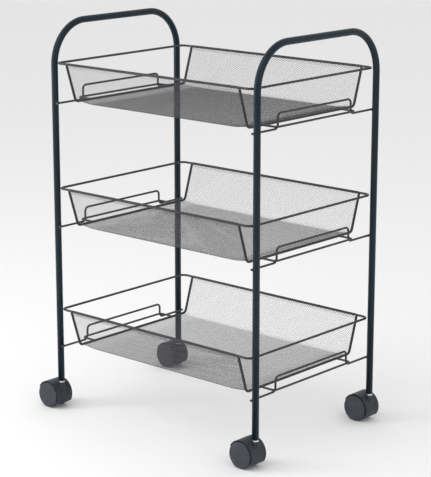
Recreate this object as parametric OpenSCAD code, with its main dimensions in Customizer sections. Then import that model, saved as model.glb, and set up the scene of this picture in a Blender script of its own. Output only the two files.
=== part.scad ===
/* [Overall] */
// Height from the floor to the top of the tube arches
total_height = 757; // [700:1:820]
// Distance between the two end frames, axis to axis
frame_spacing = 495; // [420:1:560]
// Distance between the front and back posts, axis to axis
post_spacing = 335; // [290:1:380]

/* [End frames] */
// Outer diameter of the frame tube
tube_d = 12.7; // [11:0.1:16]
// Wall thickness of the frame tube
tube_wall = 1; // [0.8:0.1:1.5]
// Bend radius of the arches, to the tube axis
arch_radius = 79; // [50:1:110]
// Height of the open lower end of each tube
tube_foot = 55; // [54:0.5:58]

/* [Basket rails] */
// Height of the lowest rail wire
first_rail = 126; // [110:1:150]
// Rise from one tier to the next
tier_rise = 237.5; // [190:0.5:245]
// Diameter of the rail, end and hanger wires
wire_d = 4; // [3:0.1:5]
// Length of the raised loop between its two legs
loop_length = 206; // [150:1:230]
// Height of the raised loop above the rail
loop_height = 27; // [20:1:32]
// Corner radius of the raised loop
loop_radius = 8; // [5:0.5:10]

/* [Baskets] */
// Length of the rim, wire axis to wire axis
rim_length = 475; // [400:1:530]
// Width of the rim, wire axis to wire axis
rim_width = 344; // [300:1:390]
// Corner radius of the rim
rim_radius = 12; // [8:1:20]
// Diameter of the rim wire
rim_wire_d = 4.4; // [4:0.1:5]
// Height of the rim above the rail
rim_height = 76; // [60:1:90]
// Distance from the rim tip back to the end wire
end_inset = 26.5; // [22:0.5:34]
// How far each long wall leans in from rim to floor
wall_lean = 22.5; // [10:0.5:30]
// Inner radius of the fold between wall and floor
fold_radius = 9; // [6:0.5:16]
// Sheet thickness of the expanded mesh
mesh_thickness = 0.6; // [0.5:0.1:1]
// How far the mesh floor hangs below the end wires
mesh_drop = 3.2; // [1:0.1:5]
// Play between a hanger wire and the rail it rests on
rest_play = 0.3; // [0.2:0.1:0.5]

/* [Casters] */
// Wheel diameter
wheel_d = 50; // [48:0.5:52]
// Width over the two wheel faces
caster_width = 42; // [38:1:46]
// Distance from the stem axis back to the axle
caster_trail = 20; // [18:0.5:22]
// Width of the caster body between the wheels
body_width = 13.4; // [12:0.1:14]
// Diameter of the swivel stem
stem_d = 8; // [6:0.5:8]
// Diameter of the axle
axle_d = 5; // [4:0.5:6]

/* [Hidden] */
$fn = 48;

// Side names and the direction of each
LEFT = -1;
RIGHT = 1;
FRONT = -1;
BACK = 1;

// Heights of the three rails
tiers = [for (i = [0:2]) first_rail + i * tier_rise];
BOTTOM = 0;
MIDDLE = 1;
TOP = 2;

// Overshoot of a cut beyond the face it opens, and play of a pressed fit
cut = 1;
press_play = 0.02;

tube_r = tube_d / 2;
wire_r = wire_d / 2;
rim_wire_r = rim_wire_d / 2;
wheel_r = wheel_d / 2;
post_y = post_spacing / 2;

// Hood over the wheels, a little ahead of the axle and above it
hood_shift_x = 0.7;
hood_shift_z = 0.5;
hood_gap = 1.6;
hood_wall = 1.6;
hood_end_gap = 1.2;
hood_inner_r = wheel_r + hood_gap;
hood_outer_r = hood_inner_r + hood_wall;
hood_half_width = caster_width / 2 - hood_end_gap;
hood_front_angle = -34;
hood_back_angle = 152;

// All four casters trail to the left, so the frames stand a little to the
// right to keep the whole cart centred on the origin
hood_reach = hood_shift_x + hood_outer_r - caster_trail;
frame_mid_x = (caster_trail + wheel_r - hood_reach) / 2;
function frame_x(side) = frame_mid_x + side * frame_spacing / 2;

// A rail is lap-welded to the inboard face of its posts
weld_bite = 0.15;
rail_offset = frame_spacing / 2 - tube_r - wire_r + weld_bite;
function rail_x(side) = frame_mid_x + side * rail_offset;
rail_overhang = 4;

// Hanger wire: two stubs on the rail and a bar outboard of the loop
hanger_gap = 0.6;
hanger_lift = wire_d + rest_play;
hanger_bar_offset = rail_offset + wire_d + hanger_gap;
hanger_side_gap = 3.5;
hanger_half_width = loop_length / 2 + wire_d + hanger_side_gap;
hanger_radius = 7;
hanger_bite = 0.1;

// End wires and mesh trough
end_offset = rim_length / 2 - end_inset;
end_half_width = rim_width / 2 - wall_lean;
end_drop = rim_height - hanger_lift;
wall_angle = atan2(wall_lean, end_drop);
mesh_half_length = end_offset - wire_r;
mesh_floor = hanger_lift - mesh_drop;
sheet_r = fold_radius + mesh_thickness / 2;
sheet_gap = 0.2;

// The fold of an end wire starts at a round distance from the corner. Its
// upright is a hair thinner, so that it ends inside the fold, and so is the
// wall of the mesh sheet
end_turn = 90 - wall_angle;
end_set_back = round(100 * fold_radius * tan(end_turn / 2)) / 100;
end_bend = end_set_back / tan(end_turn / 2);
thin_step = 0.02;
fold_overlap = 0.3;
upright_tuck = 1.2;

// Caster heights
axle_z = wheel_r;
boss_r = 6.6;
boss_bottom = 36;
boss_top = 51.4;
stem_bottom = 21;
stem_end_play = 0.3;
stem_top_gap = 4;
collar_gap = 0.3;
collar_bottom = boss_top + collar_gap;
collar_r = 6.1;
socket_height = 32;
socket_wall = 1.2;
tube_bore_r = tube_r - tube_wall;
fit_play = 0.05;
hub_r = 5.5;
wheel_gap = 0.6;
wheel_inner_y = body_width / 2 + wheel_gap;
wheel_outer_y = caster_width / 2;
tread_wall = 3.2;
face_wall = 2.6;
dome_rise = 1.4;
wheel_edge = 1.2;
face_edge_y = wheel_outer_y - dome_rise;
dome_r = (pow(wheel_r, 2) + pow(dome_rise, 2)) / (2 * dome_rise);
axle_end_gap = 0.3;
bore_end_play = 0.2;
axle_end_y = face_edge_y - face_wall - axle_end_gap;
bore_end_y = axle_end_y + bore_end_play;

// Centre web of the caster body: it reaches into the hood, stops short of
// the hood's two ends and covers the wheel hubs
web_bite = 0.5;
web_front_set_back = 6;
web_back_set_back = 20;
hub_cover = 3;

frame_colour = "#26303c";
wire_colour = "#2b2b2e";
mesh_colour = "#5a5e64";
plastic_colour = "#3a3f45";
steel_colour = "#b9bcc0";

// ---------- straight and bent wire ----------

// Round bar along +X from x = 0
module bar_x(length, radius) {
    rotate([0, 90, 0]) cylinder(h = length, r = radius);
}

// Round bar along +Y, centred on y = 0
module bar_y(length, radius) {
    rotate([-90, 0, 0]) cylinder(h = length, r = radius, center = true);
}

// Bend in the XY plane about the origin, from one angle through a sweep
module bend(bend_r, radius, from, sweep) {
    rotate([0, 0, from]) rotate_extrude(angle = sweep)
        translate([bend_r, 0]) circle(r = radius);
}

// ---------- end frames ----------

// Outline of the U: two posts, two bends and the straight top, solid
module arch_bar(side, radius, foot) {
    top_z = total_height - tube_r;
    bend_z = top_z - arch_radius;
    translate([frame_x(side), 0, 0]) {
        for (end = [FRONT, BACK])
            translate([0, end * post_y, foot])
                cylinder(h = bend_z - foot, r = radius);
        translate([0, 0, top_z]) bar_y(post_spacing - 2 * arch_radius, radius);
        translate([0, post_y - arch_radius, bend_z])
            rotate([90, 0, 90]) bend(arch_radius, radius, 0, 90);
        translate([0, arch_radius - post_y, bend_z])
            rotate([90, 0, 90]) bend(arch_radius, radius, 90, 90);
    }
}

module end_frame(side) {
    color(frame_colour) difference() {
        arch_bar(side, tube_r, tube_foot);
        arch_bar(side, tube_bore_r, tube_foot - cut);
    }
}

// Hat-shaped rail: brim, leg, raised loop, leg, brim, all one wire
module rail(side, tier) {
    leg_y = loop_length / 2;
    leg_low = loop_radius;
    leg_high = loop_height - loop_radius;
    brim_end = post_y + rail_overhang;
    brim_start = leg_y + loop_radius;
    color(wire_colour) translate([rail_x(side), 0, tiers[tier]]) {
        translate([0, 0, loop_height]) bar_y(loop_length - 2 * loop_radius, wire_r);
        for (end = [FRONT, BACK]) {
            translate([0, end * (brim_start + brim_end) / 2, 0])
                bar_y(brim_end - brim_start, wire_r);
            translate([0, end * leg_y, leg_low])
                cylinder(h = leg_high - leg_low, r = wire_r);
            translate([0, end * (leg_y - loop_radius), leg_high])
                rotate([90, 0, end * 90]) bend(loop_radius, wire_r, 0, 90);
            translate([0, end * brim_start, leg_low])
                rotate([90, 0, end * 90]) bend(loop_radius, wire_r, 180, 90);
        }
    }
}

// ---------- baskets ----------

module rim(tier) {
    half_x = rim_length / 2 - rim_radius;
    half_y = rim_width / 2 - rim_radius;
    color(wire_colour) translate([frame_mid_x, 0, tiers[tier] + rim_height]) {
        for (end = [FRONT, BACK])
            translate([-half_x, end * rim_width / 2, 0]) bar_x(2 * half_x, rim_wire_r);
        for (side = [LEFT, RIGHT])
            translate([side * rim_length / 2, 0, 0]) bar_y(2 * half_y, rim_wire_r);
        for (turn = [0:3])
            translate([(turn == 0 || turn == 3 ? 1 : -1) * half_x,
                       (turn < 2 ? 1 : -1) * half_y, 0])
                bend(rim_radius, rim_wire_r, 90 * turn, 90);
    }
}

// Trough-shaped wire: floor, two rounded folds and two leaning uprights
module end_wire(side, tier) {
    bend_y = end_half_width - end_set_back;
    upright_start = end_set_back - fold_overlap;
    wall_length = norm([wall_lean, end_drop]) - rim_wire_r - upright_tuck;
    color(wire_colour)
        translate([frame_mid_x + side * end_offset, 0, tiers[tier] + hanger_lift]) {
            bar_y(2 * bend_y, wire_r);
            for (end = [FRONT, BACK]) {
                translate([0, end * bend_y, end_bend])
                    rotate([90, 0, end * 90]) bend(end_bend, wire_r, -90, end_turn);
                translate([0, end * end_half_width, 0]) rotate([-end * wall_angle, 0, 0])
                    translate([0, 0, upright_start])
                        cylinder(h = wall_length - upright_start, r = wire_r - thin_step);
            }
        }
}

// U-shaped wire that lies on the rail and hooks behind its raised loop
module hanger(side, tier) {
    start = end_offset + wire_r - hanger_bite;
    bar_x_place = hanger_bar_offset;
    half = hanger_half_width;
    color(wire_colour) translate([frame_mid_x, 0, tiers[tier] + hanger_lift])
        mirror([side == LEFT ? 1 : 0, 0, 0]) {
            translate([bar_x_place, 0, 0]) bar_y(2 * (half - hanger_radius), wire_r);
            for (end = [0, 1]) mirror([0, end, 0]) {
                translate([start, half, 0])
                    bar_x(bar_x_place - hanger_radius - start, wire_r);
                translate([bar_x_place - hanger_radius, half - hanger_radius, 0])
                    bend(hanger_radius, wire_r, 0, 90);
            }
        }
}

// Half outline of the bent sheet, as Y and Z, from the middle to the rim
module sheet_half() {
    set_back = sheet_r * tan(end_turn / 2);
    drop_shift = mesh_drop * tan(wall_angle);
    corner_y = end_half_width - drop_shift;
    bend_y = corner_y - set_back;
    rise = rim_height - mesh_floor;
    wall_start = set_back - fold_overlap;
    wall_end = rise / cos(wall_angle) - rim_wire_r - sheet_gap;
    wall_thickness = mesh_thickness - thin_step;
    translate([0, -mesh_thickness / 2]) square([bend_y, mesh_thickness]);
    translate([bend_y, sheet_r]) intersection() {
        difference() {
            circle(r = sheet_r + mesh_thickness / 2);
            circle(r = sheet_r - mesh_thickness / 2);
        }
        polygon([[0, 0], [0, -2 * sheet_r], [2 * sheet_r, -2 * sheet_r],
                 2 * sheet_r * [cos(wall_angle), -sin(wall_angle)]]);
    }
    translate([corner_y, 0]) rotate(end_turn)
        translate([wall_start, -wall_thickness / 2])
            square([wall_end - wall_start, wall_thickness]);
}

// Trough of expanded mesh: front wall, floor and back wall, open at both ends
module mesh(tier) {
    color(mesh_colour)
        translate([frame_mid_x - mesh_half_length, 0, tiers[tier] + mesh_floor])
            rotate([90, 0, 90]) linear_extrude(2 * mesh_half_length) {
                sheet_half();
                mirror([1, 0]) sheet_half();
            }
}

// ---------- casters ----------

module at_post(side, end) {
    translate([frame_x(side), end * post_y, 0]) children();
}

// Plastic sleeve pressed into the open lower end of the tube
module socket(side, end) {
    color(plastic_colour) at_post(side, end) translate([0, 0, tube_foot])
        difference() {
            cylinder(h = socket_height, r = tube_bore_r - press_play);
            translate([0, 0, -cut])
                cylinder(h = socket_height - socket_wall + cut, r = stem_d / 2 + press_play);
        }
}

// Steel stem with the collar that carries the tube
module stem(side, end) {
    color(steel_colour) at_post(side, end) {
        translate([0, 0, stem_bottom])
            cylinder(h = tube_foot + socket_height - stem_top_gap - stem_bottom, r = stem_d / 2);
        translate([0, 0, collar_bottom])
            cylinder(h = tube_foot - collar_bottom, r = collar_r);
    }
}

// Sector of a circle about its centre, between two angles
module sector(radius, from, to) {
    reach = 2 * radius;
    middle = (from + to) / 2;
    spread = 40;
    intersection() {
        circle(r = radius);
        polygon([[0, 0],
                 reach * [cos(from), sin(from)],
                 2 * reach * [cos(middle - spread), sin(middle - spread)],
                 2 * reach * [cos(middle + spread), sin(middle + spread)],
                 reach * [cos(to), sin(to)]]);
    }
}

// Side outline of the body between the wheels, short of both ends of the hood
module body_profile() {
    translate([hood_shift_x, hood_shift_z])
        sector(hood_inner_r + web_bite, hood_front_angle + web_front_set_back,
               hood_back_angle - web_back_set_back);
    circle(r = hub_r + hub_cover);
}

// Caster body: centre plate, curved hood over both wheels and stem boss
module housing(side, end) {
    color(plastic_colour) at_post(side, end) difference() {
        union() {
            translate([-caster_trail, 0, axle_z]) rotate([90, 0, 0]) {
                linear_extrude(body_width, center = true) body_profile();
                translate([hood_shift_x, hood_shift_z, -hood_half_width])
                    linear_extrude(2 * hood_half_width) difference() {
                        sector(hood_outer_r, hood_front_angle, hood_back_angle);
                        circle(r = hood_inner_r);
                    }
            }
            translate([0, 0, boss_bottom]) cylinder(h = boss_top - boss_bottom, r = boss_r);
        }
        translate([0, 0, stem_bottom - stem_end_play])
            cylinder(h = boss_top, r = stem_d / 2 + fit_play);
        translate([-caster_trail, 0, axle_z]) bar_y(2 * body_width, axle_d / 2);
    }
}

module axle(side, end) {
    color(steel_colour) at_post(side, end)
        translate([-caster_trail, 0, axle_z]) bar_y(2 * axle_end_y, axle_d / 2);
}

// Half outline of a wheel: distance from the axle, then distance from the middle
module wheel_profile() {
    hollow_r = wheel_r - tread_wall;
    edge_r = wheel_r - wheel_edge;
    difference() {
        translate([0, wheel_inner_y])
            square([wheel_r, wheel_outer_y - wheel_inner_y + cut]);
        translate([hub_r, wheel_inner_y - cut])
            square([hollow_r - hub_r, face_edge_y - face_wall - wheel_inner_y + cut]);
        translate([-cut, wheel_inner_y - cut])
            square([axle_d / 2 + fit_play + cut, bore_end_y - wheel_inner_y + cut]);
        polygon([[edge_r, wheel_inner_y], [edge_r, wheel_inner_y - cut],
                 [wheel_r + cut, wheel_inner_y - cut], [wheel_r + cut, wheel_inner_y + wheel_edge],
                 [wheel_r, wheel_inner_y + wheel_edge]]);
        polygon([[wheel_r, face_edge_y - wheel_edge], [wheel_r + cut, face_edge_y - wheel_edge],
                 [wheel_r + cut, wheel_outer_y + 2 * cut], [edge_r, wheel_outer_y + 2 * cut],
                 [edge_r, face_edge_y]]);
    }
}

// Hollow wheel, turned about its axle, with a domed closed outer face
module wheel_shape() {
    rotate_extrude() intersection() {
        wheel_profile();
        translate([0, wheel_outer_y - dome_r]) circle(r = dome_r, $fn = 720);
    }
}

// outward = -1 turns the domed face to the front, 1 to the back
module wheel(side, end, outward) {
    color(plastic_colour) at_post(side, end) translate([-caster_trail, 0, axle_z])
        rotate([-90 * outward, 0, 0]) wheel_shape();
}

// ---------- parts ----------

end_frame(LEFT);  // left_end_frame
end_frame(RIGHT);  // right_end_frame
rail(LEFT, BOTTOM);  // left_bottom_rail
rail(LEFT, MIDDLE);  // left_middle_rail
rail(LEFT, TOP);  // left_top_rail
rail(RIGHT, BOTTOM);  // right_bottom_rail
rail(RIGHT, MIDDLE);  // right_middle_rail
rail(RIGHT, TOP);  // right_top_rail

rim(BOTTOM);  // bottom_rim
end_wire(LEFT, BOTTOM);  // bottom_left_end_wire
end_wire(RIGHT, BOTTOM);  // bottom_right_end_wire
hanger(LEFT, BOTTOM);  // bottom_left_hanger
hanger(RIGHT, BOTTOM);  // bottom_right_hanger
mesh(BOTTOM);  // bottom_mesh

rim(MIDDLE);  // middle_rim
end_wire(LEFT, MIDDLE);  // middle_left_end_wire
end_wire(RIGHT, MIDDLE);  // middle_right_end_wire
hanger(LEFT, MIDDLE);  // middle_left_hanger
hanger(RIGHT, MIDDLE);  // middle_right_hanger
mesh(MIDDLE);  // middle_mesh

rim(TOP);  // top_rim
end_wire(LEFT, TOP);  // top_left_end_wire
end_wire(RIGHT, TOP);  // top_right_end_wire
hanger(LEFT, TOP);  // top_left_hanger
hanger(RIGHT, TOP);  // top_right_hanger
mesh(TOP);  // top_mesh

socket(LEFT, FRONT);  // left_front_socket
stem(LEFT, FRONT);  // left_front_stem
housing(LEFT, FRONT);  // left_front_housing
axle(LEFT, FRONT);  // left_front_axle
wheel(LEFT, FRONT, FRONT);  // left_front_outer_wheel
wheel(LEFT, FRONT, BACK);  // left_front_inner_wheel

socket(RIGHT, FRONT);  // right_front_socket
stem(RIGHT, FRONT);  // right_front_stem
housing(RIGHT, FRONT);  // right_front_housing
axle(RIGHT, FRONT);  // right_front_axle
wheel(RIGHT, FRONT, FRONT);  // right_front_outer_wheel
wheel(RIGHT, FRONT, BACK);  // right_front_inner_wheel

socket(LEFT, BACK);  // left_back_socket
stem(LEFT, BACK);  // left_back_stem
housing(LEFT, BACK);  // left_back_housing
axle(LEFT, BACK);  // left_back_axle
wheel(LEFT, BACK, BACK);  // left_back_outer_wheel
wheel(LEFT, BACK, FRONT);  // left_back_inner_wheel

socket(RIGHT, BACK);  // right_back_socket
stem(RIGHT, BACK);  // right_back_stem
housing(RIGHT, BACK);  // right_back_housing
axle(RIGHT, BACK);  // right_back_axle
wheel(RIGHT, BACK, BACK);  // right_back_outer_wheel
wheel(RIGHT, BACK, FRONT);  // right_back_inner_wheel
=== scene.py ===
import math

import bmesh
import bpy
from mathutils import Matrix, Quaternion, Vector


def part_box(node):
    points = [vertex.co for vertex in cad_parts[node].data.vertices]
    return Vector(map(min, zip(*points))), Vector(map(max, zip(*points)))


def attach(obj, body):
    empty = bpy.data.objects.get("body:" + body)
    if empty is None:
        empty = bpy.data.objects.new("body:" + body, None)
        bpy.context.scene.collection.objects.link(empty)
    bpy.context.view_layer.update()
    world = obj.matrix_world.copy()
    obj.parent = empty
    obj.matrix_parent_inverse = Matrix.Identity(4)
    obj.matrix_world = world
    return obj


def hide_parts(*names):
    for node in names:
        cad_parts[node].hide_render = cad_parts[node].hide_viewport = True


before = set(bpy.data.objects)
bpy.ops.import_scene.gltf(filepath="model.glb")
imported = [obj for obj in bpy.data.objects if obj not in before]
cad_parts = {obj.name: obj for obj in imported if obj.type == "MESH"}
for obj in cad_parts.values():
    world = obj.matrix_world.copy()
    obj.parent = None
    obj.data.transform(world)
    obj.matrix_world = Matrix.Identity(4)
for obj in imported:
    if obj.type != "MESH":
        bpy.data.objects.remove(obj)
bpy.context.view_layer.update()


# ---------------------------------------------------------------- end frames
# Each end frame is one length of thin steel tube bent to an upside-down U, with its feet left open.
# It is sprayed a very dark blue gloss; the tube is swept along its path and then given its wall.

SIDES = ("left", "right")
TUBE_WALL = 0.001
ARCH_RADIUS = 0.079
TUBE_SIDES = 48
ARCH_STEPS = 30


def rounded_path(corners, radii, steps, closed=False):
    """Points along straight runs joined by true arcs at the corners."""
    count = len(corners)
    inner = range(count) if closed else range(1, count - 1)
    points = [] if closed else [corners[0]]
    for place, radius in zip(inner, radii):
        corner = corners[place]
        back = (corners[place - 1] - corner).normalized()
        ahead = (corners[(place + 1) % count] - corner).normalized()
        # The arc touches both runs, so its centre lies on the line that halves the corner
        half = back.angle(ahead) / 2
        centre = corner + (back + ahead).normalized() * radius / math.sin(half)
        start = corner + back * radius / math.tan(half) - centre
        end = corner + ahead * radius / math.tan(half) - centre
        axis = start.cross(end).normalized()
        for step in range(steps + 1):
            turn = Quaternion(axis, (math.pi - 2 * half) * step / steps)
            points.append(centre + turn @ start)
    return points if closed else points + [corners[-1]]


def bent_bar_tree():
    """A path of edges becomes round bar: named inputs for its radius, its sides and its finish."""
    tree = bpy.data.node_groups.new("bent_bar", "GeometryNodeTree")
    face = tree.interface
    face.new_socket("Geometry", in_out="INPUT", socket_type="NodeSocketGeometry")
    face.new_socket("Bar Radius", in_out="INPUT", socket_type="NodeSocketFloat")
    face.new_socket("Sides", in_out="INPUT", socket_type="NodeSocketInt")
    face.new_socket("Capped", in_out="INPUT", socket_type="NodeSocketBool")
    face.new_socket("Finish", in_out="INPUT", socket_type="NodeSocketMaterial")
    face.new_socket("Geometry", in_out="OUTPUT", socket_type="NodeSocketGeometry")
    add, link = tree.nodes.new, tree.links.new
    given = add("NodeGroupInput")
    path = add("GeometryNodeMeshToCurve")
    section = add("GeometryNodeCurvePrimitiveCircle")
    sweep = add("GeometryNodeCurveToMesh")
    whole = add("GeometryNodeRealizeInstances")
    finish = add("GeometryNodeSetMaterial")
    made = add("NodeGroupOutput")
    link(given.outputs["Geometry"], path.inputs["Mesh"])
    link(given.outputs["Sides"], section.inputs["Resolution"])
    link(given.outputs["Bar Radius"], section.inputs["Radius"])
    link(path.outputs["Curve"], sweep.inputs["Curve"])
    link(section.outputs["Curve"], sweep.inputs["Profile Curve"])
    link(given.outputs["Capped"], sweep.inputs["Fill Caps"])
    link(sweep.outputs["Mesh"], whole.inputs["Geometry"])
    link(whole.outputs["Geometry"], finish.inputs["Geometry"])
    link(given.outputs["Finish"], finish.inputs["Material"])
    link(finish.outputs["Geometry"], made.inputs["Geometry"])
    return tree


def grown(piece, tree, values):
    """Runs a tree on a piece's path, with values by name, and keeps the result as its plain mesh."""
    modifier = piece.modifiers.new(tree.name, "NODES")
    modifier.node_group = tree
    for item in tree.interface.items_tree:
        if item.in_out == "INPUT" and item.name in values:
            modifier[item.identifier] = values[item.name]
    depsgraph = bpy.context.evaluated_depsgraph_get()
    mesh = bpy.data.meshes.new_from_object(piece.evaluated_get(depsgraph), depsgraph=depsgraph)
    piece.modifiers.clear()
    piece.data = mesh
    return piece


def path_piece(name, points, closed=False, thickness=None):
    """A piece that is only a path so far: a row of points, and how thick the bar is at each."""
    mesh = bpy.data.meshes.new(name)
    links = [(i, i + 1) for i in range(len(points) - 1)]
    if closed:
        links.append((len(points) - 1, 0))
    mesh.from_pydata(points, links, [])
    thick = mesh.attributes.new("radius", "FLOAT", "POINT")
    thick.data.foreach_set("value", thickness or [1.0] * len(points))
    piece = bpy.data.objects.new(name, mesh)
    bpy.context.scene.collection.objects.link(piece)
    return piece


def smooth_sides(piece, angle=35):
    """Rounded sides shade smooth, and edges sharper than the angle stay crisp."""
    piece.data.polygons.foreach_set("use_smooth", [True] * len(piece.data.polygons))
    piece.data.set_sharp_from_angle(angle=math.radians(angle))
    return piece


def new_finish(name):
    """A bare material with its shader ready to be wired."""
    finish = bpy.data.materials.new(name)
    finish.use_nodes = True
    return finish, finish.node_tree, finish.node_tree.nodes["Principled BSDF"]


def place_noise(nodes_and_links, scale, detail):
    """Noise fixed to the piece, at a scale per metre."""
    nodes, links = nodes_and_links
    place = nodes.new("ShaderNodeTexCoord")
    noise = nodes.new("ShaderNodeTexNoise")
    noise.inputs["Scale"].default_value = scale
    noise.inputs["Detail"].default_value = detail
    links.new(place.outputs["Object"], noise.inputs["Vector"])
    return noise


def ramp(nodes_and_links, source, low, high, start=0.3, end=0.7):
    """Turns a noise into a range of colours or values."""
    nodes, links = nodes_and_links
    band = nodes.new("ShaderNodeValToRGB")
    band.color_ramp.elements[0].position = start
    band.color_ramp.elements[1].position = end
    band.color_ramp.elements[0].color = low
    band.color_ramp.elements[1].color = high
    links.new(source, band.inputs["Fac"])
    return band.outputs["Color"]


def grey(value):
    return (value, value, value, 1)


def bumped(nodes_and_links, shader, height, depth, strength):
    """Raises the surface by a height pattern, depth in metres."""
    nodes, links = nodes_and_links
    bump = nodes.new("ShaderNodeBump")
    bump.inputs["Strength"].default_value = strength
    bump.inputs["Distance"].default_value = depth
    links.new(height, bump.inputs["Height"])
    links.new(bump.outputs["Normal"], shader.inputs["Normal"])


def sprayed_paint(name, dark, light, gloss_low, gloss_high, shine):
    """Sprayed enamel: slow drift of colour, faint orange peel and uneven gloss from handling."""
    finish, tree, shader = new_finish(name)
    kit = (tree.nodes, tree.links)
    drift = place_noise(kit, scale=9, detail=3)
    tree.links.new(ramp(kit, drift.outputs["Fac"], dark, light), shader.inputs["Base Color"])
    handling = place_noise(kit, scale=38, detail=5)
    gloss = ramp(kit, handling.outputs["Fac"], grey(gloss_low), grey(gloss_high))
    tree.links.new(gloss, shader.inputs["Roughness"])
    peel = place_noise(kit, scale=650, detail=2)
    bumped(kit, shader, peel.outputs["Fac"], depth=0.00004, strength=0.35)
    shader.inputs["Specular IOR Level"].default_value = shine
    return finish


tube_paint = sprayed_paint(
    "tube_paint",
    dark=(0.0055, 0.0140, 0.0215, 1),
    light=(0.0090, 0.0190, 0.0280, 1),
    gloss_low=0.24,
    gloss_high=0.36,
    shine=0.2,
)
bent_bar = bent_bar_tree()

for side in SIDES:
    node = f"{side}_end_frame"
    low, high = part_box(node)
    tube_radius = (high.x - low.x) / 2
    frame_x = (high.x + low.x) / 2
    post_y = high.y - tube_radius
    crown_z = high.z - tube_radius
    corners = [
        Vector((frame_x, -post_y, low.z)),
        Vector((frame_x, -post_y, crown_z)),
        Vector((frame_x, post_y, crown_z)),
        Vector((frame_x, post_y, low.z)),
    ]
    tube = path_piece(node + "_tube", rounded_path(corners, [ARCH_RADIUS] * 2, ARCH_STEPS))
    sizes = {"Bar Radius": tube_radius, "Sides": TUBE_SIDES, "Capped": False, "Finish": tube_paint}
    grown(tube, bent_bar, sizes)
    wall = tube.modifiers.new("tube_wall", "SOLIDIFY")
    wall.thickness = TUBE_WALL
    wall.offset = -1
    smooth_sides(tube)
    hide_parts(node)
    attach(tube, "cart_frame")


# ---------------------------------------------------------------- basket rails
# On each frame and tier one wire runs from post to post, with a raised loop that a basket hooks behind.
# It is lap-welded to the inner side of the posts with short rough beads, and painted satin black.

TIERS = ("bottom", "middle", "top")
LOOP_LENGTH = 0.206
LOOP_RADIUS = 0.008
WIRE_SIDES = 20
WIRE_STEPS = 10
END_CHAMFER = 0.0005
END_TAPER = 0.72
RAIL_BEAD = (0.0016, 0.0044, 0.0017)
RAIL_BEAD_RISE = 0.0013
BEAD_SINK = 0.0002
BEAD_RIPPLE = 0.07
BEAD_WAVES = (3100, 4200, 3900)


def cut_ends(points):
    """Adds a small chamfer to both cut ends of a wire, and gives the thickness at each point."""
    first = points[0] + (points[1] - points[0]).normalized() * END_CHAMFER
    last = points[-1] + (points[-2] - points[-1]).normalized() * END_CHAMFER
    thickness = [END_TAPER] + [1.0] * len(points) + [END_TAPER]
    return [points[0], first] + points[1:-1] + [last, points[-1]], thickness


def wire_piece(name, points, radius, paint, closed=False):
    """One bent wire, round in section, with chamfered cut ends unless it is a closed ring."""
    thickness = None
    if not closed:
        points, thickness = cut_ends(points)
    piece = path_piece(name, points, closed, thickness)
    sizes = {"Bar Radius": radius, "Sides": WIRE_SIDES, "Capped": not closed, "Finish": paint}
    return smooth_sides(grown(piece, bent_bar, sizes))


def weld_bead(name, beads, paint, seed):
    """Rough lens-shaped beads, each given by its middle and its half sizes along X, Y and Z. The
    seed shifts the ripple on them, so that no two rows are alike."""
    shape = bmesh.new()
    for number, (middle, size) in enumerate(beads):
        place = Matrix.Translation(middle) @ Matrix.Diagonal((*size, 1))
        drop = bmesh.ops.create_icosphere(shape, subdivisions=3, radius=1, matrix=place)
        for corner in drop["verts"]:
            away = corner.co - middle
            wave_x, wave_y, wave_z = (a * b for a, b in zip(away, BEAD_WAVES))
            ripple = math.sin(wave_y + seed) * math.cos(wave_z + wave_x + number)
            corner.co = middle + away * (1 + BEAD_RIPPLE * ripple)
    mesh = bpy.data.meshes.new(name)
    shape.to_mesh(mesh)
    shape.free()
    mesh.materials.append(paint)
    piece = bpy.data.objects.new(name, mesh)
    bpy.context.scene.collection.objects.link(piece)
    return smooth_sides(piece, angle=180)


wire_paint = sprayed_paint(
    "wire_paint",
    dark=(0.026, 0.025, 0.028, 1),
    light=(0.038, 0.037, 0.041, 1),
    gloss_low=0.3,
    gloss_high=0.46,
    shine=0.35,
)

for side in SIDES:
    inward = 1 if side == "left" else -1
    frame_low, frame_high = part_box(f"{side}_end_frame")
    post_y = frame_high.y - (frame_high.x - frame_low.x) / 2
    beads = []
    for tier in TIERS:
        node = f"{side}_{tier}_rail"
        low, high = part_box(node)
        wire_radius = (high.x - low.x) / 2
        x = (high.x + low.x) / 2
        brim_z = low.z + wire_radius
        loop_z = high.z - wire_radius
        leg_y = LOOP_LENGTH / 2
        corners = [
            Vector((x, low.y, brim_z)),
            Vector((x, -leg_y, brim_z)),
            Vector((x, -leg_y, loop_z)),
            Vector((x, leg_y, loop_z)),
            Vector((x, leg_y, brim_z)),
            Vector((x, high.y, brim_z)),
        ]
        path = rounded_path(corners, [LOOP_RADIUS] * 4, WIRE_STEPS)
        rail = wire_piece(node + "_wire", path, wire_radius, wire_paint)
        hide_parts(node)
        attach(rail, "cart_frame")
        bead_x = x - inward * (wire_radius + BEAD_SINK)
        for end in (-1, 1):
            for up in (-1, 1):
                middle = Vector((bead_x, end * post_y, brim_z + up * RAIL_BEAD_RISE))
                beads.append((middle, RAIL_BEAD))
    welds = weld_bead(f"{side}_rail_welds", beads, wire_paint, seed=1.0)
    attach(welds, "cart_frame")


# ---------------------------------------------------------------- basket wires
# Each basket hangs from a closed rim ring of thicker wire. Two end wires carry the trough's shape, and a
# U-shaped hanger at each end lies on the rail and hooks behind its loop. All joints are spot welds.

RIM_RADIUS = 0.012
RING_STEPS = 12
WALL_LEAN = 22.5 / 71.7
END_BEND = 0.009
END_TUCK = 0.5
HANGER_RADIUS = 0.007
RIM_BEAD = (0.0024, 0.0021, 0.0016)
HANGER_BEAD = (0.0017, 0.0025, 0.0021)


def ring_place(tier):
    """Where a rim's wire runs: its radius, its height, and how far back its long side is."""
    low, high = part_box(f"{tier}_rim")
    radius = (high.z - low.z) / 2
    return radius, (high.z + low.z) / 2, high.y - radius


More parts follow.
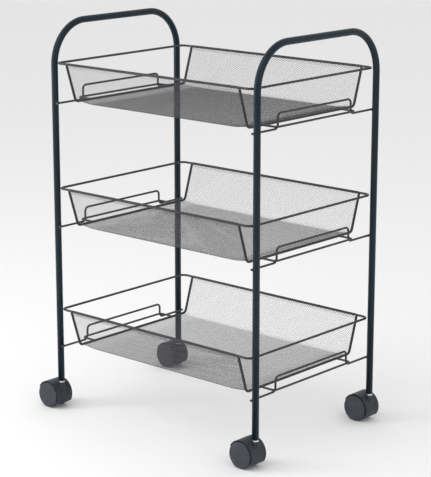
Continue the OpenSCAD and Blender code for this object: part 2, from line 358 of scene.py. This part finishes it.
def end_wire_path(tier, side, tuck):
    """Down one leaning wall, along the floor and up the other. It ends under the rim wire, and the
    tuck says by how many of its own radii."""
    low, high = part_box(f"{tier}_{side}_end_wire")
    rim_wire, rim_z, rim_y = ring_place(tier)
    radius = (high.x - low.x) / 2
    x = (high.x + low.x) / 2
    floor_z = low.z + radius
    fold = Vector((x, rim_y - WALL_LEAN * (rim_z - floor_z), floor_z))
    top = Vector((x, rim_y, rim_z))
    top += (fold - top).normalized() * (rim_wire + radius * tuck)
    corners = [Vector((x, -top.y, top.z)), Vector((x, -fold.y, floor_z)), fold, top]
    return rounded_path(corners, [END_BEND] * 2, WIRE_STEPS), radius


for tier in TIERS:
    body = f"{tier}_basket"
    rim_low, rim_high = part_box(f"{tier}_rim")
    rim_wire, rim_z, rim_y = ring_place(tier)
    left_x = rim_low.x + rim_wire
    right_x = rim_high.x - rim_wire
    corners = [
        Vector((left_x, -rim_y, rim_z)),
        Vector((right_x, -rim_y, rim_z)),
        Vector((right_x, rim_y, rim_z)),
        Vector((left_x, rim_y, rim_z)),
    ]
    ring = rounded_path(corners, [RIM_RADIUS] * 4, RING_STEPS, closed=True)
    rim = wire_piece(f"{tier}_rim_wire", ring, rim_wire, wire_paint, closed=True)
    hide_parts(f"{tier}_rim")
    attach(rim, body)

    beads = []
    for side in SIDES:
        outward = -1 if side == "left" else 1
        node = f"{tier}_{side}_end_wire"
        path, radius = end_wire_path(tier, side, tuck=END_TUCK)
        end_wire = wire_piece(node + "_bar", path, radius, wire_paint)
        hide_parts(node)
        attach(end_wire, body)
        beads += [(path[0], RIM_BEAD), (path[-1], RIM_BEAD)]

        node = f"{tier}_{side}_hanger"
        low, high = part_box(node)
        radius = (high.z - low.z) / 2
        z = (high.z + low.z) / 2
        bar_x = (high.x if side == "right" else low.x) - outward * radius
        stub_x = low.x if side == "right" else high.x
        stub_y = high.y - radius
        corners = [
            Vector((stub_x, -stub_y, z)),
            Vector((bar_x, -stub_y, z)),
            Vector((bar_x, stub_y, z)),
            Vector((stub_x, stub_y, z)),
        ]
        path = rounded_path(corners, [HANGER_RADIUS] * 2, WIRE_STEPS)
        hanger = wire_piece(node + "_bar", path, radius, wire_paint)
        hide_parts(node)
        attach(hanger, body)
        for end in (-1, 1):
            middle = Vector((stub_x + outward * BEAD_SINK, end * stub_y, z))
            beads.append((middle, HANGER_BEAD))
    welds = weld_bead(f"{tier}_basket_welds", beads, wire_paint, seed=2.0)
    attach(welds, body)


# ---------------------------------------------------------------- mesh troughs
# The basket is one sheet of fine expanded steel mesh, bent to two leaning walls and a floor and open at both
# ends. Its diamonds are two crossing sets of strands, and its long edges are rolled over the rim wire.

DIAMOND_LENGTH = 0.0066
DIAMOND_WIDTH = 0.0042
STRAND_WIDTH = 0.00042
STRAND_THICKNESS = 0.0002
SHORTEST_STRAND = 0.0008
SHEET_HALF = 0.0003
SHEET_FOLD = 0.0093
FOLD_STEPS = 5
FLOOR_SPANS = 26
HOOK_GAP = 0.0002
HOOK_START = -20
HOOK_SWEEP = 200
HOOK_STEPS = 6
HEM_RETURN = 0.006
HEM_THICKNESS = 0.00045
LIFT_LENGTH = 0.036
LIFT_HEIGHT = 0.014
DIAMOND_TURN = 35
DIAMOND_BANDS = 110


def strand_tree():
    """Copies the trough's outline along its length as slanting strands, cut off at both ends, both ways."""
    tree = bpy.data.node_groups.new("expanded_mesh", "GeometryNodeTree")
    face = tree.interface
    face.new_socket("Geometry", in_out="INPUT", socket_type="NodeSocketGeometry")
    sizes = ("Half Length", "Outline Length", "Diamond Length", "Slant", "Strand Width", "Strand Thickness")
    for label in sizes:
        face.new_socket(label, in_out="INPUT", socket_type="NodeSocketFloat")
    face.new_socket("Finish", in_out="INPUT", socket_type="NodeSocketMaterial")
    face.new_socket("Geometry", in_out="OUTPUT", socket_type="NodeSocketGeometry")
    add, link = tree.nodes.new, tree.links.new
    given = add("NodeGroupInput")

    def math_node(operation, first, second=None, third=None):
        node = add("ShaderNodeMath")
        node.operation = operation
        for socket, value in zip(node.inputs, (first, second, third)):
            if isinstance(value, (int, float)):
                socket.default_value = value
            elif value is not None:
                link(value, socket)
        return node.outputs["Value"]

    half = given.outputs["Half Length"]
    outline_length = given.outputs["Outline Length"]
    slant = given.outputs["Slant"]
    outline = add("GeometryNodeMeshToCurve")
    link(given.outputs["Geometry"], outline.inputs["Mesh"])

    # One start every diamond, from far enough left that the first strands still cross the far wall
    reach = math_node("MULTIPLY", slant, outline_length)
    span = math_node("MULTIPLY_ADD", half, 2.0, reach)
    number = math_node("FLOOR", math_node("DIVIDE", span, given.outputs["Diamond Length"]))
    first_x = math_node("MULTIPLY", math_node("ADD", half, reach), -1.0)
    first_at = add("ShaderNodeCombineXYZ")
    link(first_x, first_at.inputs["X"])
    step = add("ShaderNodeCombineXYZ")
    link(given.outputs["Diamond Length"], step.inputs["X"])
    starts = add("GeometryNodeMeshLine")
    link(number, starts.inputs["Count"])
    link(first_at.outputs["Vector"], starts.inputs["Start Location"])
    link(step.outputs["Vector"], starts.inputs["Offset"])
    copies = add("GeometryNodeInstanceOnPoints")
    link(starts.outputs["Mesh"], copies.inputs["Points"])
    link(outline.outputs["Curve"], copies.inputs["Instance"])
    laid = add("GeometryNodeRealizeInstances")
    link(copies.outputs["Instances"], laid.inputs["Geometry"])

    # Where each strand enters and leaves the sheet, measured along the outline
    place = add("GeometryNodeInputPosition")
    apart = add("ShaderNodeSeparateXYZ")
    link(place.outputs["Position"], apart.inputs["Vector"])
    start_x = apart.outputs["X"]

    def clipped(value):
        return math_node("MINIMUM", math_node("MAXIMUM", value, 0.0), outline_length)

    left_end = math_node("MULTIPLY", half, -1.0)
    enters = clipped(math_node("DIVIDE", math_node("SUBTRACT", left_end, start_x), slant))
    leaves = clipped(math_node("DIVIDE", math_node("SUBTRACT", half, start_x), slant))
    noted = add("GeometryNodeCaptureAttribute")
    noted.domain = "CURVE"
    noted.capture_items.new("FLOAT", "enters")
    noted.capture_items.new("FLOAT", "leaves")
    link(laid.outputs["Geometry"], noted.inputs["Geometry"])
    link(enters, noted.inputs["enters"])
    link(leaves, noted.inputs["leaves"])
    run = math_node("SUBTRACT", noted.outputs["leaves"], noted.outputs["enters"])
    short = math_node("LESS_THAN", run, SHORTEST_STRAND)
    kept = add("GeometryNodeDeleteGeometry")
    kept.domain = "CURVE"
    link(noted.outputs["Geometry"], kept.inputs["Geometry"])
    link(short, kept.inputs["Selection"])
    trimmed = add("GeometryNodeTrimCurve")
    trimmed.mode = "LENGTH"
    link(kept.outputs["Geometry"], trimmed.inputs["Curve"])
    start_length, end_length = trimmed.inputs[4], trimmed.inputs[5]
    link(noted.outputs["enters"], start_length)
    link(noted.outputs["leaves"], end_length)

    # Each strand slants as it goes round the outline
    along = add("GeometryNodeSplineParameter")
    travelled = math_node("ADD", noted.outputs["enters"], along.outputs["Length"])
    shift = add("ShaderNodeCombineXYZ")
    link(math_node("MULTIPLY", travelled, slant), shift.inputs["X"])
    slanted = add("GeometryNodeSetPosition")
    link(trimmed.outputs["Curve"], slanted.inputs["Geometry"])
    link(shift.outputs["Vector"], slanted.inputs["Offset"])

    # A strand is a flat strip that keeps its broad side along the sheet
    heading = add("GeometryNodeInputTangent")
    upright = add("ShaderNodeVectorMath")
    upright.operation = "CROSS_PRODUCT"
    upright.inputs[0].default_value = (1, 0, 0)
    link(heading.outputs["Tangent"], upright.inputs[1])
    level = add("ShaderNodeVectorMath")
    level.operation = "NORMALIZE"
    link(upright.outputs["Vector"], level.inputs[0])
    faced = add("GeometryNodeSetCurveNormal")
    faced.mode = "FREE"
    link(slanted.outputs["Geometry"], faced.inputs["Curve"])
    link(level.outputs["Vector"], faced.inputs["Normal"])
    section = add("GeometryNodeCurvePrimitiveQuadrilateral")
    link(given.outputs["Strand Width"], section.inputs["Width"])
    link(given.outputs["Strand Thickness"], section.inputs["Height"])
    sweep = add("GeometryNodeCurveToMesh")
    sweep.inputs["Fill Caps"].default_value = True
    link(faced.outputs["Curve"], sweep.inputs["Curve"])
    link(section.outputs["Curve"], sweep.inputs["Profile Curve"])

    # The same strands mirrored cross the first set
    mirrored = add("GeometryNodeTransform")
    mirrored.inputs["Scale"].default_value = (-1, 1, 1)
    link(sweep.outputs["Mesh"], mirrored.inputs["Geometry"])
    outward = add("GeometryNodeFlipFaces")
    link(mirrored.outputs["Geometry"], outward.inputs["Mesh"])
    both = add("GeometryNodeJoinGeometry")
    link(sweep.outputs["Mesh"], both.inputs["Geometry"])
    link(outward.outputs["Mesh"], both.inputs["Geometry"])
    whole = add("GeometryNodeRealizeInstances")
    link(both.outputs["Geometry"], whole.inputs["Geometry"])
    finish = add("GeometryNodeSetMaterial")
    link(whole.outputs["Geometry"], finish.inputs["Geometry"])
    link(given.outputs["Finish"], finish.inputs["Material"])
    made = add("NodeGroupOutput")
    link(finish.outputs["Geometry"], made.inputs["Geometry"])
    return tree


def show_diamonds(finish):
    """The folded sheet's diamonds still show through the paint as a crossed ripple."""
    tree = finish.node_tree
    shader = tree.nodes["Principled BSDF"]
    place = tree.nodes.new("ShaderNodeTexCoord")
    heights = []
    for turn in (DIAMOND_TURN, -DIAMOND_TURN):
        lay = tree.nodes.new("ShaderNodeMapping")
        lay.inputs["Rotation"].default_value = [math.radians(turn)] * 3
        ripple = tree.nodes.new("ShaderNodeTexWave")
        ripple.inputs["Scale"].default_value = DIAMOND_BANDS
        tree.links.new(place.outputs["Object"], lay.inputs["Vector"])
        tree.links.new(lay.outputs["Vector"], ripple.inputs["Vector"])
        heights.append(ripple.outputs["Fac"])
    crossed = tree.nodes.new("ShaderNodeMath")
    crossed.operation = "MAXIMUM"
    tree.links.new(heights[0], crossed.inputs[0])
    tree.links.new(heights[1], crossed.inputs[1])
    bumped((tree.nodes, tree.links), shader, crossed.outputs["Value"], depth=0.0003, strength=0.8)


def path_length(points):
    return sum((b - a).length for a, b in zip(points, points[1:]))


def trough_outline(tier, floor_z):
    """The bent sheet seen from its end, from one rolled edge to the other: it is made from the middle
    of the floor to the back edge, and mirrored to the front."""
    rim_wire, rim_z, rim_y = ring_place(tier)
    wall_run = math.atan(WALL_LEAN)
    roll = rim_wire + STRAND_THICKNESS / 2 + HOOK_GAP
    hook = []
    for step in range(HOOK_STEPS + 1):
        angle = math.radians(HOOK_START + HOOK_SWEEP * step / HOOK_STEPS) - wall_run
        hook.append(Vector((0, rim_y + roll * math.cos(angle), rim_z + roll * math.sin(angle))))
    tail = hook[0] + Vector((0, -math.sin(wall_run), -math.cos(wall_run))) * HEM_RETURN
    fold = Vector((0, rim_y - WALL_LEAN * (rim_z - floor_z), floor_z))
    middle = Vector((0, 0, floor_z))
    wall = rounded_path([middle, fold, hook[-1]], [SHEET_FOLD], FOLD_STEPS)[1:]
    spans = FLOOR_SPANS // 2
    floor = [Vector((0, wall[0].y * step / spans, floor_z)) for step in range(1, spans)]
    back_half = floor + wall + hook[-2::-1] + [tail]
    front_half = [Vector((0, -p.y, p.z)) for p in reversed(back_half)]
    return front_half + [middle] + back_half


def eased(share):
    """A share from 0 to 1 that starts and ends gently."""
    share = max(0, min(1, share))
    return share * share * (3 - 2 * share)


def raise_floor_ends(mesh, half_length, floor_z, lift):
    """Near both ends the floor rises to the end wires, which hold it up."""
    for corner in mesh.vertices:
        near_end = eased(1 - (half_length - abs(corner.co.x)) / LIFT_LENGTH)
        near_floor = eased(1 - (corner.co.z - floor_z) / LIFT_HEIGHT)
        corner.co.z += lift * near_end * near_floor


mesh_paint = sprayed_paint(
    "mesh_paint",
    dark=(0.030, 0.029, 0.035, 1),
    light=(0.046, 0.045, 0.052, 1),
    gloss_low=0.26,
    gloss_high=0.4,
    shine=0.5,
)
mesh_hem = sprayed_paint(
    "mesh_hem",
    dark=(0.022, 0.021, 0.025, 1),
    light=(0.034, 0.033, 0.037, 1),
    gloss_low=0.36,
    gloss_high=0.52,
    shine=0.35,
)
show_diamonds(mesh_hem)
expanded_mesh = strand_tree()

for tier in TIERS:
    node = f"{tier}_mesh"
    low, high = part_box(node)
    half_length = (high.x - low.x) / 2
    floor_z = low.z + SHEET_HALF
    outline = trough_outline(tier, floor_z)
    trough = path_piece(node + "_strands", outline)
    sizes = {
        "Half Length": half_length,
        "Outline Length": path_length(outline),
        "Diamond Length": DIAMOND_LENGTH,
        "Slant": DIAMOND_LENGTH / DIAMOND_WIDTH,
        "Strand Width": STRAND_WIDTH,
        "Strand Thickness": STRAND_THICKNESS,
        "Finish": mesh_paint,
    }
    grown(trough, expanded_mesh, sizes)
    wire_low, wire_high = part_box(f"{tier}_left_end_wire")
    wire_z = wire_low.z + (wire_high.x - wire_low.x) / 2
    raise_floor_ends(trough.data, half_length, floor_z, wire_z - floor_z)
    trough.data.transform(Matrix.Translation(((high.x + low.x) / 2, 0, 0)))
    smooth_sides(trough)
    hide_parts(node)
    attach(trough, f"{tier}_basket")

    # At each end the sheet is wrapped round the end wire and filled with paint
    for side in SIDES:
        path, radius = end_wire_path(tier, side, tuck=1)
        hem = wire_piece(f"{tier}_{side}_hem", path, radius + HEM_THICKNESS, mesh_hem)
        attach(hem, f"{tier}_basket")


# ---------------------------------------------------------------- caster wheels
# Each caster has two moulded nylon wheels, hollow on the inside with a hub and ribs, and closed by a
# slightly domed smooth face. They are turned here about the axle, and each spins on its own.

CORNERS = ("left_front", "right_front", "left_back", "right_back")
WHEEL_HOLLOW = 0.0218
WHEEL_HUB = 0.0055
WHEEL_BORE = 0.00255
FACE_WALL = 0.0026
DOME_RISE = 0.0014
DOME_STEPS = 12
SHOULDER = 0.0022
SHOULDER_STEPS = 5
LIP = 0.0012
LIP_STEPS = 3
BORE_STOP = 0.0001
WHEEL_RIBS = 8
RIB_HALF = 0.0006
RIB_BITE = 0.0003
RIB_SET_BACK = 0.001
TURN_STEPS = 96


def turned(shape, profile, place, steps=TURN_STEPS, closed=False):
    """Turns a profile of (radius, height) about Z, closed at its poles, and sets it in place."""
    rings = []
    for radius, height in profile:
        ring = []
        for step in range(steps if radius > 0 else 1):
            angle = 2 * math.pi * step / steps
            spot = Vector((radius * math.cos(angle), radius * math.sin(angle), height))
            ring.append(shape.verts.new(place @ spot))
        rings.append(ring)
    if closed:
        rings.append(rings[0])
    for lower, upper in zip(rings, rings[1:]):
        for step in range(steps):
            after = (step + 1) % steps
            if len(lower) == 1:
                shape.faces.new((lower[0], upper[after], upper[step]))
            elif len(upper) == 1:
                shape.faces.new((lower[step], lower[after], upper[0]))
            else:
                shape.faces.new((lower[step], lower[after], upper[after], upper[step]))


def block(shape, low, high, place):
    """A plain rib or bar inside a moulding, from one corner to the other."""
    middle = (Vector(low) + Vector(high)) / 2
    size = Vector(high) - Vector(low)
    spread = Matrix.Translation(middle) @ Matrix.Diagonal((*size, 1))
    bmesh.ops.create_cube(shape, size=1, matrix=place @ spread)


def made_piece(name, shape, finish, angle=35):
    """Ends a mesh: normals outwards, one finish, smooth sides."""
    bmesh.ops.recalc_face_normals(shape, faces=shape.faces)
    mesh = bpy.data.meshes.new(name)
    shape.to_mesh(mesh)
    shape.free()
    mesh.materials.append(finish)
    piece = bpy.data.objects.new(name, mesh)
    bpy.context.scene.collection.objects.link(piece)
    return smooth_sides(piece, angle)


def moulded_plastic(name, dark, light, rough_low, rough_high, grain, grain_depth):
    """Moulded nylon: fine spark-eroded grain, slow drift of colour, a few scuffs that dull the surface."""
    finish, tree, shader = new_finish(name)
    kit = (tree.nodes, tree.links)
    drift = place_noise(kit, scale=60, detail=3)
    tree.links.new(ramp(kit, drift.outputs["Fac"], dark, light), shader.inputs["Base Color"])
    scuffs = place_noise(kit, scale=240, detail=6)
    rough = ramp(kit, scuffs.outputs["Fac"], grey(rough_low), grey(rough_high))
    tree.links.new(rough, shader.inputs["Roughness"])
    fine = place_noise(kit, scale=grain, detail=2)
    bumped(kit, shader, fine.outputs["Fac"], depth=grain_depth, strength=0.4)
    shader.inputs["Specular IOR Level"].default_value = 0.22
    return finish


wheel_plastic = moulded_plastic(
    "wheel_plastic",
    dark=(0.036, 0.040, 0.052, 1),
    light=(0.050, 0.055, 0.070, 1),
    rough_low=0.42,
    rough_high=0.55,
    grain=2600,
    grain_depth=0.00003,
)


def wheel_profile(radius, inner_y, outer_y):
    """Half a wheel cut through its axle, as (radius, distance from the caster's middle), from the
    middle of the domed face round the tread to the bottom of the blind bore."""
    points = [(0, outer_y)]
    for step in range(1, DOME_STEPS + 1):
        out = (radius - SHOULDER) * step / DOME_STEPS
        points.append((out, outer_y - DOME_RISE * (out / radius) ** 2))
    dome_edge_y = points[-1][1]
    for step in range(1, SHOULDER_STEPS + 1):
        angle = math.pi / 2 * (1 - step / SHOULDER_STEPS)
        drop = SHOULDER * (1 - math.sin(angle))
        points.append((radius - SHOULDER * (1 - math.cos(angle)), dome_edge_y - drop))
    for step in range(LIP_STEPS + 1):
        angle = math.pi / 2 * step / LIP_STEPS
        points.append((radius - LIP * (1 - math.cos(angle)), inner_y + LIP * (1 - math.sin(angle))))
    back_y = outer_y - DOME_RISE - FACE_WALL
    points += [
        (WHEEL_HOLLOW, inner_y),
        (WHEEL_HOLLOW, back_y),
        (WHEEL_HUB, back_y),
        (WHEEL_HUB, inner_y),
        (WHEEL_BORE, inner_y),
        (WHEEL_BORE, back_y - BORE_STOP),
        (0, back_y - BORE_STOP),
    ]
    return points, back_y


for corner in CORNERS:
    low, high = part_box(f"{corner}_outer_wheel")
    inner_low, inner_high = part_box(f"{corner}_inner_wheel")
    radius = (high.z - low.z) / 2
    axle_x = (high.x + low.x) / 2
    axle_z = (high.z + low.z) / 2
    middle_y = (min(low.y, inner_low.y) + max(high.y, inner_high.y)) / 2
    for node in (f"{corner}_outer_wheel", f"{corner}_inner_wheel"):
        low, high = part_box(node)
        outward = 1 if (low.y + high.y) / 2 > middle_y else -1
        inner_y = min(abs(low.y - middle_y), abs(high.y - middle_y))
        outer_y = max(abs(low.y - middle_y), abs(high.y - middle_y))
        profile, back_y = wheel_profile(radius, inner_y, outer_y)
        shape = bmesh.new()
        facing = Matrix.Rotation(-outward * math.pi / 2, 4, "X")
        place = Matrix.Translation((axle_x, middle_y, axle_z)) @ facing
        turned(shape, profile, place)
        for rib in range(WHEEL_RIBS):
            spoke = place @ Matrix.Rotation(2 * math.pi * rib / WHEEL_RIBS, 4, "Z")
            start = (WHEEL_HUB - RIB_BITE, -RIB_HALF, inner_y + RIB_SET_BACK)
            end = (WHEEL_HOLLOW + RIB_BITE, RIB_HALF, back_y + RIB_BITE)
            block(shape, start, end, spoke)
        wheel = made_piece(node + "_moulding", shape, wheel_plastic)
        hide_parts(node)
        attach(wheel, node)


# ---------------------------------------------------------------- caster bodies
# One nylon moulding covers both wheels: a curved hood, a thick web between the wheels that holds the
# axle, and a short boss under the tube for the swivel stem. Its edges are softly rounded.

HOOD_SHIFT = (0.0009, 0.0004)
HOOD_INNER = 0.0270
HOOD_OUTER = 0.0280
HOOD_HALF_WIDTH = 0.0198
HOOD_FRONT = -34
HOOD_BACK = 152
HOOD_STEPS = 64
TAPER_START = 80
TAPER_POWER = 1.5
TIP_INNER = 0.0259
TIP_OUTER = 0.0266
WEB_HALF = 0.0067
WEB_FRONT = -28
WEB_BACK = 132
WEB_STEPS = 32
WEB_REACH = 0.0272
HUB_COVER = 0.0085
HUB_COVER_START = 152
HUB_COVER_END = 292
HUB_COVER_STEPS = 16
BOSS_PROFILE = (
    (0.0070, 0.0350),
    (0.0069, 0.0440),
    (0.0067, 0.0500),
    (0.0066, 0.0508),
    (0.0064, 0.0512),
    (0.0060, 0.0514),
    (0.00405, 0.0514),
    (0.00405, 0.0350),
)
EDGE_ROUNDING = 0.0005

body_plastic = moulded_plastic(
    "body_plastic",
    dark=(0.025, 0.028, 0.035, 1),
    light=(0.036, 0.041, 0.050, 1),
    rough_low=0.36,
    rough_high=0.5,
    grain=1500,
    grain_depth=0.00005,
)


def hood_shell(shape, centre):
    """The curved cover: a bent plate whose back end thins and closes in on the wheels."""
    rows = []
    for step in range(HOOD_STEPS + 1):
        degrees = HOOD_FRONT + (HOOD_BACK - HOOD_FRONT) * step / HOOD_STEPS
        closing = max(0, (degrees - TAPER_START) / (HOOD_BACK - TAPER_START)) ** TAPER_POWER
        inner = HOOD_INNER + (TIP_INNER - HOOD_INNER) * closing
        outer = HOOD_OUTER + (TIP_OUTER - HOOD_OUTER) * closing
        angle = math.radians(degrees)
        row = []
        for radius, y in ((inner, -1), (inner, 1), (outer, 1), (outer, -1)):
            reach = Vector((radius * math.cos(angle), y * HOOD_HALF_WIDTH, radius * math.sin(angle)))
            row.append(shape.verts.new(centre + reach))
        rows.append(row)
    for row, after in zip(rows, rows[1:]):
        for side in range(4):
            shape.faces.new((row[side], row[(side + 1) % 4], after[(side + 1) % 4], after[side]))
    shape.faces.new(rows[0])
    shape.faces.new(rows[-1])


def arc(centre, radius, start, end, steps):
    """Points (x, z) along an arc, from one angle to another in degrees."""
    points = []
    for step in range(steps + 1):
        angle = math.radians(start + (end - start) * step / steps)
        points.append((centre.x + radius * math.cos(angle), centre.z + radius * math.sin(angle)))
    return points


def centre_web(shape, axle_at, centre):
    """The thick plate between the wheels, from the axle up into the hood."""
    outline = arc(centre, WEB_REACH, WEB_FRONT, WEB_BACK, WEB_STEPS)
    outline += arc(axle_at, HUB_COVER, HUB_COVER_START, HUB_COVER_END, HUB_COVER_STEPS)
    near = [shape.verts.new((x, axle_at.y - WEB_HALF, z)) for x, z in outline]
    far = [shape.verts.new((x, axle_at.y + WEB_HALF, z)) for x, z in outline]
    shape.faces.new(near)
    shape.faces.new(reversed(far))
    for place in range(len(outline)):
        after = (place + 1) % len(outline)
        shape.faces.new((near[place], far[place], far[after], near[after]))


for corner in CORNERS:
    node = f"{corner}_housing"
    axle_low, axle_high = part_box(f"{corner}_axle")
    stem_low, stem_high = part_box(f"{corner}_stem")
    axle_at = (axle_low + axle_high) / 2
    stem_at = (stem_low + stem_high) / 2
    centre = axle_at + Vector((HOOD_SHIFT[0], 0, HOOD_SHIFT[1]))
    shape = bmesh.new()
    hood_shell(shape, centre)
    centre_web(shape, axle_at, centre)
    turned(shape, BOSS_PROFILE, Matrix.Translation((stem_at.x, stem_at.y, 0)), closed=True)
    housing = made_piece(node + "_moulding", shape, body_plastic, angle=30)
    rounding = housing.modifiers.new("soft_edges", "BEVEL")
    rounding.width = EDGE_ROUNDING
    rounding.segments = 3
    rounding.limit_method = "ANGLE"
    rounding.angle_limit = math.radians(45)
    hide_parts(node)
    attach(housing, f"{corner}_caster")


# ---------------------------------------------------------------- stems, sleeves and axles
# A zinc-plated steel stem with a bright collar carries each tube, and a nylon sleeve pressed into the tube
# grips it. The axle is a plain plated pin through the web and both wheel hubs.

COLLAR_LOW = 0.0517
STEM_RADIUS = 0.004
STEM_CHAMFER = 0.0005
COLLAR_CHAMFER = 0.0004


def plated_metal(name):
    """Bright zinc plate: soft cloudy colour, fine turning marks and light handling marks."""
    finish, tree, shader = new_finish(name)
    kit = (tree.nodes, tree.links)
    cloud = place_noise(kit, scale=160, detail=4)
    colour = ramp(kit, cloud.outputs["Fac"], (0.56, 0.57, 0.58, 1), (0.78, 0.79, 0.80, 1))
    tree.links.new(colour, shader.inputs["Base Color"])
    marks = place_noise(kit, scale=700, detail=5)
    tree.links.new(ramp(kit, marks.outputs["Fac"], grey(0.16), grey(0.34)), shader.inputs["Roughness"])
    turning = tree.nodes.new("ShaderNodeTexWave")
    turning.bands_direction = "Z"
    turning.inputs["Scale"].default_value = 1400
    turning.inputs["Distortion"].default_value = 0.6
    place = tree.nodes.new("ShaderNodeTexCoord")
    tree.links.new(place.outputs["Object"], turning.inputs["Vector"])
    bumped(kit, shader, turning.outputs["Fac"], depth=0.00001, strength=0.3)
    shader.inputs["Metallic"].default_value = 1
    return finish


plated_steel = plated_metal("plated_steel")
sleeve_plastic = moulded_plastic(
    "sleeve_plastic",
    dark=(0.012, 0.012, 0.013, 1),
    light=(0.018, 0.018, 0.020, 1),
    rough_low=0.4,
    rough_high=0.5,
    grain=1200,
    grain_depth=0.00003,
)

for corner in CORNERS:
    low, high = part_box(f"{corner}_stem")
    tube_low, tube_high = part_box(f"{corner.split('_')[0]}_end_frame")
    collar_r = (high.x - low.x) / 2
    middle = (low + high) / 2
    profile = [
        (0, low.z),
        (STEM_RADIUS - STEM_CHAMFER, low.z),
        (STEM_RADIUS, low.z + STEM_CHAMFER),
        (STEM_RADIUS, COLLAR_LOW),
        (collar_r - COLLAR_CHAMFER, COLLAR_LOW),
        (collar_r, COLLAR_LOW + COLLAR_CHAMFER),
        (collar_r, tube_low.z - COLLAR_CHAMFER),
        (collar_r - COLLAR_CHAMFER, tube_low.z),
        (STEM_RADIUS, tube_low.z),
        (STEM_RADIUS, high.z - STEM_CHAMFER),
        (STEM_RADIUS - STEM_CHAMFER, high.z),
        (0, high.z),
    ]
    shape = bmesh.new()
    turned(shape, profile, Matrix.Translation((middle.x, middle.y, 0)), steps=64)
    stem = made_piece(f"{corner}_stem_pin", shape, plated_steel)
    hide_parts(f"{corner}_stem")
    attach(stem, "cart_frame")
    for node, finish in ((f"{corner}_socket", sleeve_plastic), (f"{corner}_axle", plated_steel)):
        carried = bpy.data.objects[node]
        carried.data.materials.clear()
        carried.data.materials.append(finish)


# ---------------------------------------------------------------- studio
# A wide pale floor under an even pale sky, with two soft boxes and a strip box out of view. The
# camera stands in front of the cart's right corner, a little above it, with a long lens.

FLOOR_HALF = 40
SKY_STRENGTH = 0.86
VIEW_AZIMUTH = math.radians(41.59)
VIEW_ELEVATION = math.radians(13.81)
VIEW_DISTANCE = 3.2467
TARGET_SHIFT = 0.0049
TARGET_HEIGHT = 0.3495
SENSOR_WIDTH = 36
FOCAL_LENGTH = 130.043

floor_mesh = bpy.data.meshes.new("studio_floor")
floor_corners = [(x * FLOOR_HALF, y * FLOOR_HALF, 0) for x, y in ((-1, -1), (1, -1), (1, 1), (-1, 1))]
floor_mesh.from_pydata(floor_corners, [], [(0, 1, 2, 3)])
studio_floor = bpy.data.objects.new("studio_floor", floor_mesh)
bpy.context.scene.collection.objects.link(studio_floor)
floor_finish, tree, shader = new_finish("studio_floor")
shader.inputs["Base Color"].default_value = (0.9, 0.9, 0.9, 1)
shader.inputs["Roughness"].default_value = 0.9
floor_mesh.materials.append(floor_finish)

world = bpy.data.worlds.new("studio")
bpy.context.scene.world = world
world.use_nodes = True
sky = world.node_tree.nodes["Background"]
sky.inputs["Color"].default_value = (1, 1, 1, 1)
sky.inputs["Strength"].default_value = SKY_STRENGTH
bpy.context.scene.view_settings.view_transform = "Standard"


def soft_box(name, place, aim, size, power):
    """A flat lamp that lights the piece but is never seen itself."""
    lamp = bpy.data.lights.new(name, "AREA")
    lamp.shape = "RECTANGLE"
    lamp.size, lamp.size_y = size
    lamp.energy = power
    light = bpy.data.objects.new(name, lamp)
    light.location = place
    light.rotation_mode = "QUATERNION"
    light.rotation_quaternion = (Vector(aim) - Vector(place)).to_track_quat("-Z", "Y")
    light.visible_camera = False
    bpy.context.scene.collection.objects.link(light)


soft_box("soft_box_above", (-0.6, -1.4, 2.4), aim=(0, 0, 0.3), size=(2.0, 1.6), power=16)
soft_box("soft_box_right", (2.4, -0.6, 1.6), aim=(0, 0, 0.35), size=(1.4, 1.4), power=7)
soft_box("strip_box_left", (-1.5, -1.75, 0.75), aim=(0, 0, 0.4), size=(0.45, 1.5), power=18)

frame_middle_x = (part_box("left_end_frame")[0].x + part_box("right_end_frame")[1].x) / 2
target = Vector((frame_middle_x + TARGET_SHIFT, 0, TARGET_HEIGHT))
toward = Vector(
    (
        math.sin(VIEW_AZIMUTH) * math.cos(VIEW_ELEVATION),
        -math.cos(VIEW_AZIMUTH) * math.cos(VIEW_ELEVATION),
        math.sin(VIEW_ELEVATION),
    )
)
lens = bpy.data.cameras.new("camera")
camera = bpy.data.objects.new("camera", lens)
camera.location = target + toward * VIEW_DISTANCE
camera.rotation_mode = "QUATERNION"
camera.rotation_quaternion = (-toward).to_track_quat("-Z", "Y")
lens.sensor_width = SENSOR_WIDTH
lens.lens = FOCAL_LENGTH
bpy.context.scene.collection.objects.link(camera)
bpy.context.scene.camera = camera
